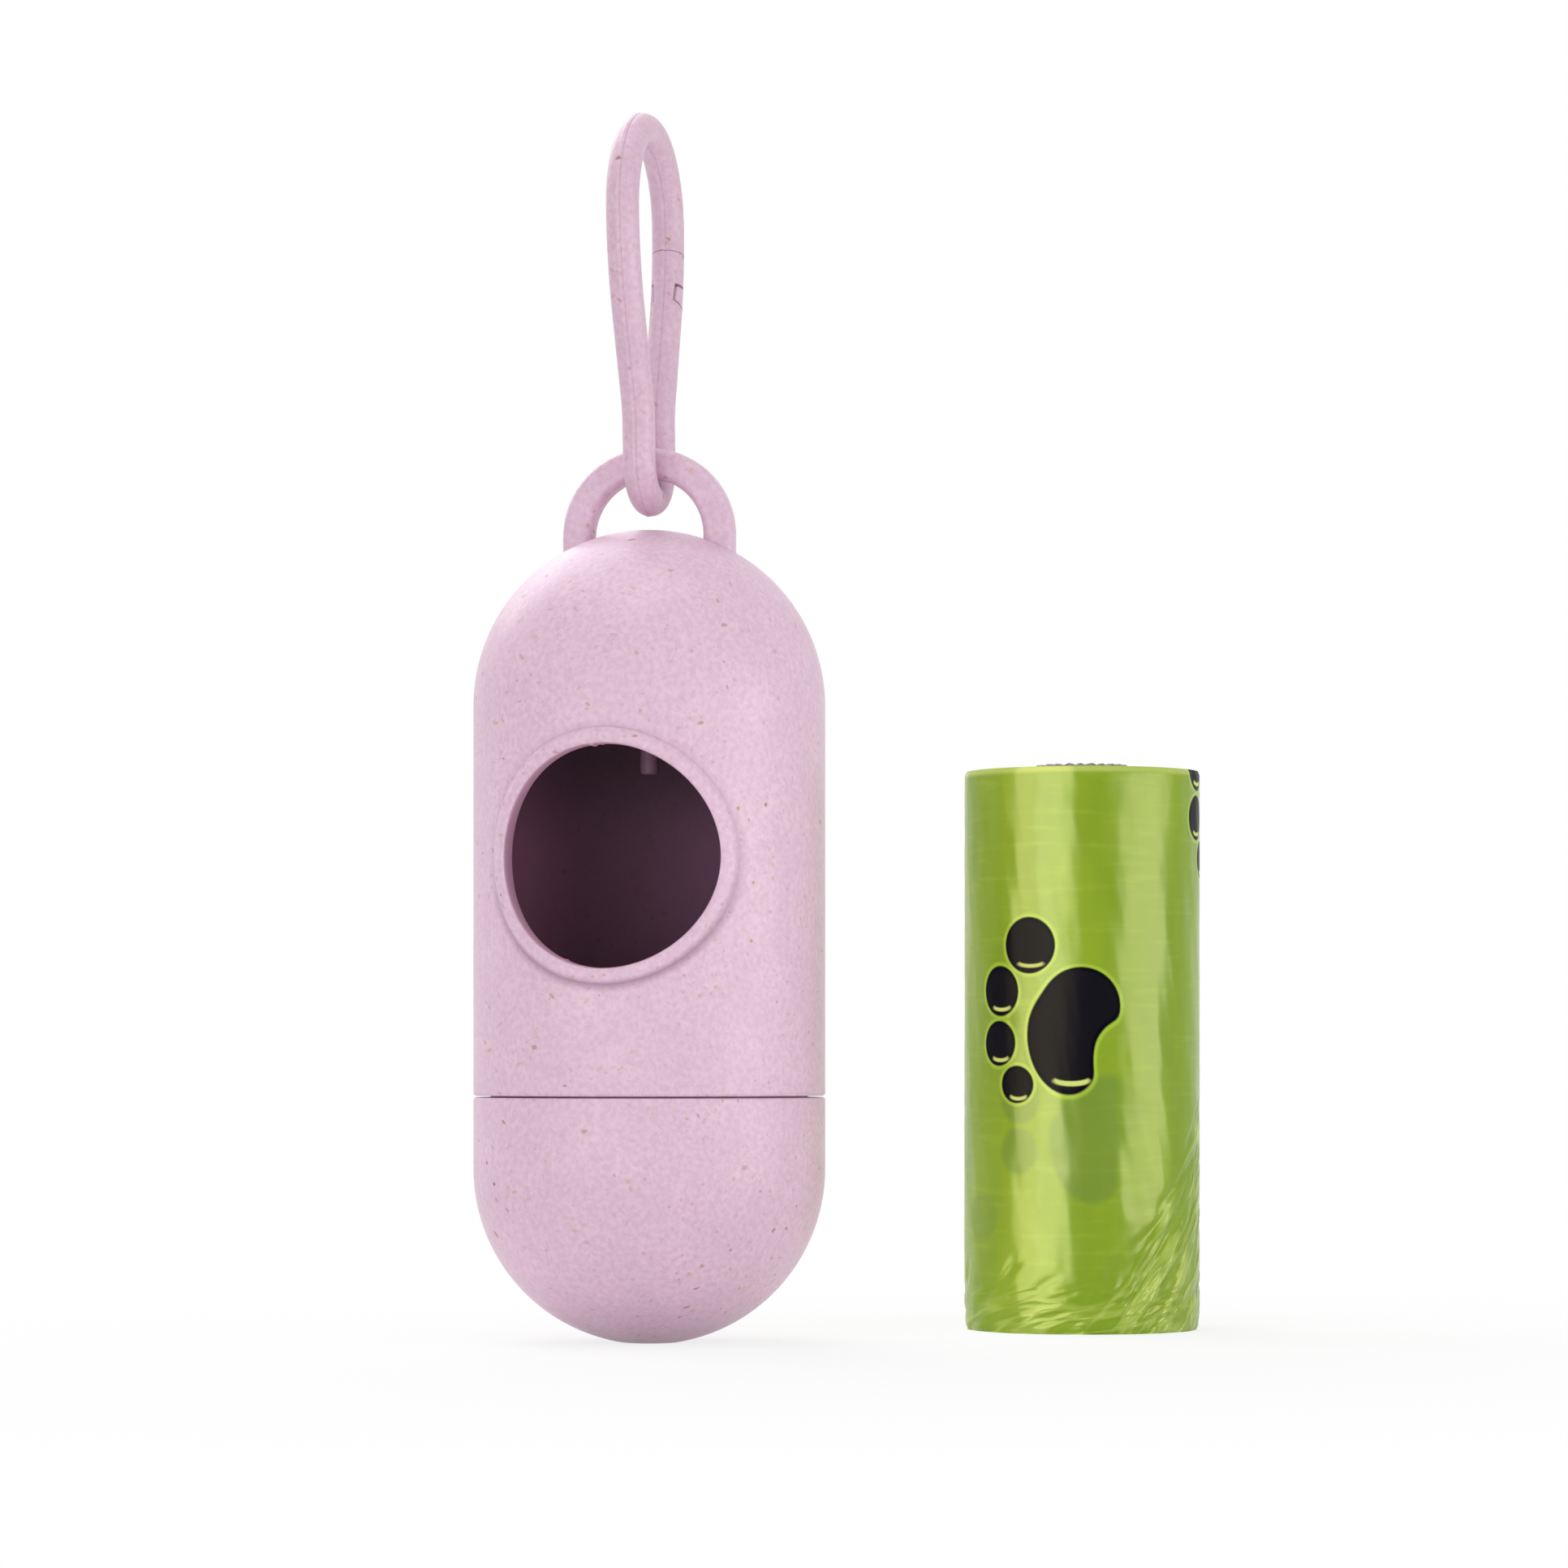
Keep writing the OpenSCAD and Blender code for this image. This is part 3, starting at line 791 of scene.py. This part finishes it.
def hook_tree(material):
    """A round section swept along a path. On both faces a ridge and a groove, side by side,
    are the mould's parting line."""
    n, size = new_tree("moulded_hook", {
        "Radius": HOOK_R - PARTING_H, "Around": 240, "Ridge height": PARTING_H,
        "Ridge width": 0.45, "Groove depth": 0.1, "Groove width": 0.24})
    circle = n.add("GeometryNodeCurvePrimitiveCircle", {"mode": "RADIUS"}, {
        "Resolution": size["Around"], "Radius": size["Radius"]})
    spot = n.add("GeometryNodeInputPosition")
    side = n.part(spot, 1)

    def strip(middle, width):
        """1 along the middle of a strip and 0 from its edges outwards."""
        return 1 - (abs(side - middle) / (width * 0.5)).smaller(1.0)

    ridge = strip(size["Ridge width"] * 0.62, size["Ridge width"])
    groove = strip(size["Groove width"] * -0.5, size["Groove width"])
    lift = ridge * size["Ridge height"] - groove * size["Groove depth"]
    outward = n.add("ShaderNodeVectorMath", {"operation": "NORMALIZE"}, {0: spot})
    shift = n.add("ShaderNodeVectorMath", {"operation": "SCALE"}, {0: outward, 3: lift})
    profile = n.add("GeometryNodeSetPosition", {}, {"Geometry": circle, "Offset": shift})
    return end_tree(n, swept(n, size["Geometry"], profile), material)


def from_hinge(across, along):
    """A point given across and along the line from the living hinge to the nose."""
    tilt = math.radians(NOSE_TILT)
    return (HINGE[0] + across * math.cos(tilt) + along * math.sin(tilt),
            HINGE[1] - across * math.sin(tilt) + along * math.cos(tilt))


def nose_edge(gap, catch):
    """The gate's seam, tongue and barb, from the inner side to the outer side."""
    low = BARB_L - BARB_H - gap
    return [(-CUT_REACH, GATE_L - gap), (TONGUE_SET - catch, GATE_L - gap),
            (TONGUE_SET - catch, BARB_L + catch), (-BARB_REACH - catch, BARB_L + catch),
            (-BARB_REACH - catch, low), (CUT_REACH, low - BARB_SLOPE * (CUT_REACH + BARB_REACH))]


def prism(outline, reach=3):
    """A solid through the hook with this outline, given across and along from the hinge."""
    corners = [from_hinge(*point) for point in outline]
    count = len(corners)
    verts = [(y, z, x) for x in (-reach, reach) for y, z in corners]
    faces = [list(range(count)), list(range(count, 2 * count))]
    faces += [[i, (i + 1) % count, count + (i + 1) % count, count + i] for i in range(count)]
    return finish_mesh("prism", verts, faces)


def on_ring():
    """Turns the hook's own plane into its place on the ring."""
    top = Matrix.Translation((0, 0, RING_TOP_Z))
    lean = Matrix.Rotation(math.radians(HOOK_LEAN), 4, "X")
    return top @ lean @ Matrix.Translation((0, 0, -HOOK_DROP)) @ UPRIGHT


def place_hook(mesh):
    """Puts a mesh of the hook's plane, already in metres, on the ring."""
    move = on_ring()
    move.translation *= MM
    mesh.transform(move)
    return mesh


def hook_meshes(material):
    """The hook's frame and its gate, which are cut apart at the gate's root and its nose."""
    tree = hook_tree(material)
    slope = math.radians(FLARE_ANGLE)
    shoulder_y = LOOP_R - SHOULDER_R
    arm_end = (shoulder_y + SHOULDER_R * math.cos(slope), ARM_END_Z)
    past_nose = (arm_end[0] - NOSE_PAST * math.sin(slope),
                 arm_end[1] - NOSE_PAST * math.cos(slope))
    flare = arc((BEND_R + FLARE_R, FLARE_START_Z), FLARE_R, 180, 180 - FLARE_ANGLE)
    frame_path = path_of(
        straight((BEND_R, GATE_ROOT_Z), (BEND_R, BEND_R)),
        arc((0, BEND_R), BEND_R, 0, -180),
        straight((-BEND_R, BEND_R), (-BEND_R, FLARE_START_Z)),
        [(-y, z) for y, z in flare],
        straight((-flare[-1][0], flare[-1][1]), (-arm_end[0], arm_end[1])),
        arc((-shoulder_y, LOOP_Z), SHOULDER_R, 180 + FLARE_ANGLE, 180),
        arc((0, LOOP_Z), LOOP_R, 180, 0),
        arc((shoulder_y, LOOP_Z), SHOULDER_R, 0, -FLARE_ANGLE),
        straight(arm_end, past_nose))
    gate_path = path_of(
        straight((BEND_R, GATE_ROOT_Z), (BEND_R, FLARE_START_Z)), flare,
        straight(flare[-1], arm_end),
        arc((shoulder_y, LOOP_Z), SHOULDER_R, -FLARE_ANGLE, -2))
    above = nose_edge(GATE_GAP, CATCH_GAP) + [(CUT_REACH, CUT_TOP), (-CUT_REACH, CUT_TOP)]
    under = nose_edge(0, 0) + [(CUT_REACH, CUT_FOOT), (-CUT_REACH, CUT_FOOT)]
    hook = cut(clean_mesh(grown("frame", tree, frame_path)), prism(under))
    gate = cut(clean_mesh(grown("gate", tree, gate_path)), prism(above))
    return place_hook(hook), place_hook(gate)


# ---- Roll of bags

def core_mesh():
    """Card tube with a torn, toothed edge at the top."""
    rows, steps = [], 240
    lower, upper = 22, 44
    for step in range(steps):
        turn = 2 * math.pi * step / steps
        teeth = 0.2 * abs((step / 5) % 2 - 1)
        tear = 0.12 * noise.noise((9 * math.cos(turn), 9 * math.sin(turn), 1.7))
        top = CORE_TOP_Z - max(0, teeth + tear)
        section = [(CORE_R, 0.2), (CORE_R - 0.15, 0), (CORE_BORE_R + 0.15, 0), (CORE_BORE_R, 0.2),
                   (CORE_BORE_R, lower), (CORE_BORE_R, upper), (CORE_BORE_R, top - 0.2),
                   (CORE_BORE_R + 0.2, top), (CORE_R - 0.2, top), (CORE_R, top - 0.2),
                   (CORE_R, upper), (CORE_R, lower)]
        rows.append([(r * math.cos(turn), r * math.sin(turn), z) for r, z in section])
    return loop_mesh("core", rows, Matrix.Translation((*ROLL_AXIS, 0)))


def winding_tree(material):
    """The strip of bags as one spiral, its edges uneven and higher next to the core."""
    n, size = new_tree("wound_strip", {
        "Turns": 25.0, "Inner radius": CORE_R + 0.18, "Outer radius": ROLL_R - 0.55,
        "Strip thickness": 0.19, "Strip width": ROLL_L - 1.0, "Edge rise": 0.55,
        "Unevenness": 0.55, "Unevenness below": 0.3, "Ripple scale": 0.55})
    spiral = n.add("GeometryNodeCurveSpiral", {}, {
        "Resolution": 90, "Rotations": size["Turns"], "Start Radius": size["Inner radius"],
        "End Radius": size["Outer radius"], "Height": 0.0})
    strip = n.add("GeometryNodeCurvePrimitiveQuadrilateral", {}, {
        "Width": size["Strip thickness"], "Height": size["Strip width"]})
    coil = swept(n, spiral, strip)
    spot = n.add("GeometryNodeInputPosition")
    x, y, z = (n.part(spot, axis) for axis in range(3))
    away = n.length(n.point(X=x, Y=y))
    ripple = n.add("ShaderNodeTexNoise", {}, {
        "Vector": spot, "Scale": size["Ripple scale"], "Detail": 2.0}) - 0.5
    rise = (away - size["Inner radius"]).ramp(2.6, 0.0) * size["Edge rise"]
    top = z.ramp(-1.0, 1.0)
    lift = top * (rise + ripple * size["Unevenness"])
    lift = lift + (1 - top) * abs(ripple) * size["Unevenness below"]
    uneven = n.add("GeometryNodeSetPosition", {}, {"Geometry": coil, "Offset": n.point(Z=lift)})
    return end_tree(n, uneven, material)


def windings_mesh(material):
    """The wound strip in its place, a little below the middle of the last bag."""
    mesh = grown("windings", winding_tree(material))
    return clean_mesh(mesh, Matrix.Translation((*ROLL_AXIS, ROLL_L / 2 - 0.2)))


def film_creases():
    """Creases of the loose film: a middle, a direction, a length, a width and a depth, in mm."""
    dice = random.Random(7)
    creases = []
    slanting, total = 48, 66
    for index in range(total):
        low_right = index < slanting
        x = dice.uniform(1.5, 22) if low_right else dice.uniform(-22, 4)
        z = dice.uniform(1.5, 26) if low_right else dice.uniform(0.5, 7)
        if low_right and z > 4 + x * 1.35:
            z = dice.uniform(2, 8)
        aim = math.radians(dice.uniform(34, 62) if z > 6 else dice.uniform(4, 34))
        length, width = dice.uniform(2, 6.5), dice.uniform(0.45, 0.95)
        creases.append((x, z, aim, length, width, dice.uniform(0.12, 0.3)))
    return creases


def film_dent(creases, x, z):
    """How far the film lies below its round shape, unrolled at x and z."""
    dent = 0.05 * (1 + noise.noise((x * 0.12, z * 0.05, 3.1)))
    dent += 0.025 * (1 + noise.noise((x * 0.1, z * 0.6, 8.4)))
    for at_x, at_z, aim, length, width, depth in creases:
        dx, dz = x - at_x, z - at_z
        if abs(dx) > 10 or abs(dz) > 10:
            continue
        along = dx * math.cos(aim) + dz * math.sin(aim)
        across = dz * math.cos(aim) - dx * math.sin(aim)
        fade = max(0, 1 - (along / length) ** 2)
        if fade and abs(across) < 2.2 * width:
            dent += depth * fade * max(0, 1 - abs(across) / (width * (0.35 + 0.65 * fade)))
    edge = max(0, 1 - z / 2.6)
    dent += 0.16 * edge * (1 + noise.noise((x * 0.35, z * 0.5, 5.0)))
    return min(dent, CREASE_DEPTH)


def film_mesh():
    """The last bag round the roll: a thin skin with its unrolled places in its UV map."""
    creases = film_creases()
    columns, levels = 208, 150
    outside, inside = [], []
    for i in range(columns + 1):
        degrees = FILM_START + FILM_TURN * i / columns
        x = math.radians(degrees - 360 - FACING) * ROLL_R
        turn = math.radians(degrees)
        for k in range(levels + 1):
            z = ROLL_L * k / levels
            lip = 0.16 * max(0, 1 - min(z, ROLL_L - z) / 0.35) ** 2
            radius = ROLL_R - film_dent(creases, x, z) - lip
            outside.append((radius * math.cos(turn), radius * math.sin(turn), z, x))
            inner = min(ROLL_R - FILM_DEPTH, radius - FILM_LEAST)
            inside.append((inner * math.cos(turn), inner * math.sin(turn), z, x))
    total, high = len(outside), levels + 1
    faces, last = [], columns * high
    for i in range(columns):
        a, b = i * high, (i + 1) * high
        for k in range(levels):
            faces += [[a + k, b + k, b + k + 1, a + k + 1],
                      [total + a + k + 1, total + b + k + 1, total + b + k, total + a + k]]
        c, d = a + levels, b + levels
        faces += [[b, a, total + a, total + b], [c, d, total + d, total + c]]
    for k in range(levels):
        far = last + k
        faces += [[k, k + 1, total + k + 1, total + k],
                  [far + 1, far, total + far, total + far + 1]]
    points = outside + inside
    mesh = bpy.data.meshes.new("film")
    mesh.from_pydata([point[:3] for point in points], [], faces)
    layer = mesh.uv_layers.new(name="unrolled")
    for loop in mesh.loops:
        _, _, z, x = points[loop.vertex_index]
        layer.data[loop.index].uv = (x * MM, z * MM)
    mesh.transform(Matrix.Scale(MM, 4) @ Matrix.Translation((*ROLL_AXIS, 0)))
    return mesh


# ---- Scene

bpy.context.scene.view_settings.view_transform = "Standard"
white_world()
add_camera()
side_lamps = [
    add_softbox("left_softbox", (-0.17, -0.628, 0.05), CASE_AIM, 0.72, 0.28, 1.08),
    add_softbox("right_softbox", (0.636, -0.135, 0.05), CASE_AIM, 0.58, 0.28, 1.38)]
roll_lamps = [
    add_softbox("roll_left", (-0.315, -0.57, 0.03), ROLL_AIM, 0.78, 0.28, 1.9),
    add_softbox("roll_right", (0.636, -0.135, 0.03), ROLL_AIM, 0.58, 0.28, 1.5)]
gloss_lamps = [
    add_softbox("gloss_left", (0.0287, 0.0083, 0.035), (0.0387, 0.0256, 0.035),
                0.028, 0.1, 0.085, (1, 0.88, 0.5)),
    add_softbox("gloss_right", (0.636, -0.135, 0.03), ROLL_AIM, 0.5, 0.28, 2.6, (1, 0.85, 0.4))]
for lamp in gloss_lamps:
    lamp.visible_diffuse = lamp.visible_camera = False
add_softbox("high_softbox", (-0.28, 0.32, 0.5), (0, 0, 0.08), 0.5, 0.5, 1.8)
add_softbox("top_softbox", (-0.04, -0.14, 0.64), (0, 0, 0.1), 0.4, 0.4, 0.95)

floor_mesh = bpy.data.meshes.new("floor")
floor_mesh.from_pydata([(FLOOR_LOW, FLOOR_LOW, 0), (FLOOR_HIGH, FLOOR_LOW, 0),
                        (FLOOR_HIGH, FLOOR_HIGH, 0), (FLOOR_LOW, FLOOR_HIGH, 0)],
                       [], [(0, 1, 2, 3)])
floor = add_object("floor", floor_mesh)
floor_mesh.materials.append(pale_floor())

plastic = speckled_plastic("case_plastic", 0.0)
add_piece("cap_moulding", cap_mesh(), plastic, ["cap"], "cap")
case = joined("case_moulding", [shell_mesh(), rim_mesh(), peg_mesh(), ring_mesh(plastic)])
add_piece("case_moulding", case, plastic, ["case_shell"], "case")
# The hook's copy of the plastic is darkened, a painted shade.
shaded_plastic = speckled_plastic("hook_plastic", 0.12)
hook, gate = hook_meshes(shaded_plastic)
add_piece("hook_moulding", hook, shaded_plastic, ["hook_frame"], "hook")
gate_piece = add_piece("gate_finger", gate, shaded_plastic, ["hook_gate", "gate_flexure"])
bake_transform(gate_piece)
ends = wound_film()
roll = [
    add_piece("card_core", core_mesh(), grey_board(), ["roll_core"], "roll"),
    add_piece("film_windings", windings_mesh(ends), ends, ["wound_bags"], "roll", 50),
    add_piece("outer_film", film_mesh(), printed_film(), ["outer_bag"], "roll", 60)]
others = linked("all_but_the_roll", roll, "EXCLUDE")
for lamp in side_lamps:
    lamp.light_linking.receiver_collection = others
only_roll = linked("only_the_roll", roll, "INCLUDE")
for lamp in roll_lamps + gloss_lamps:
    lamp.light_linking.receiver_collection = only_roll
    lamp.light_linking.blocker_collection = only_roll
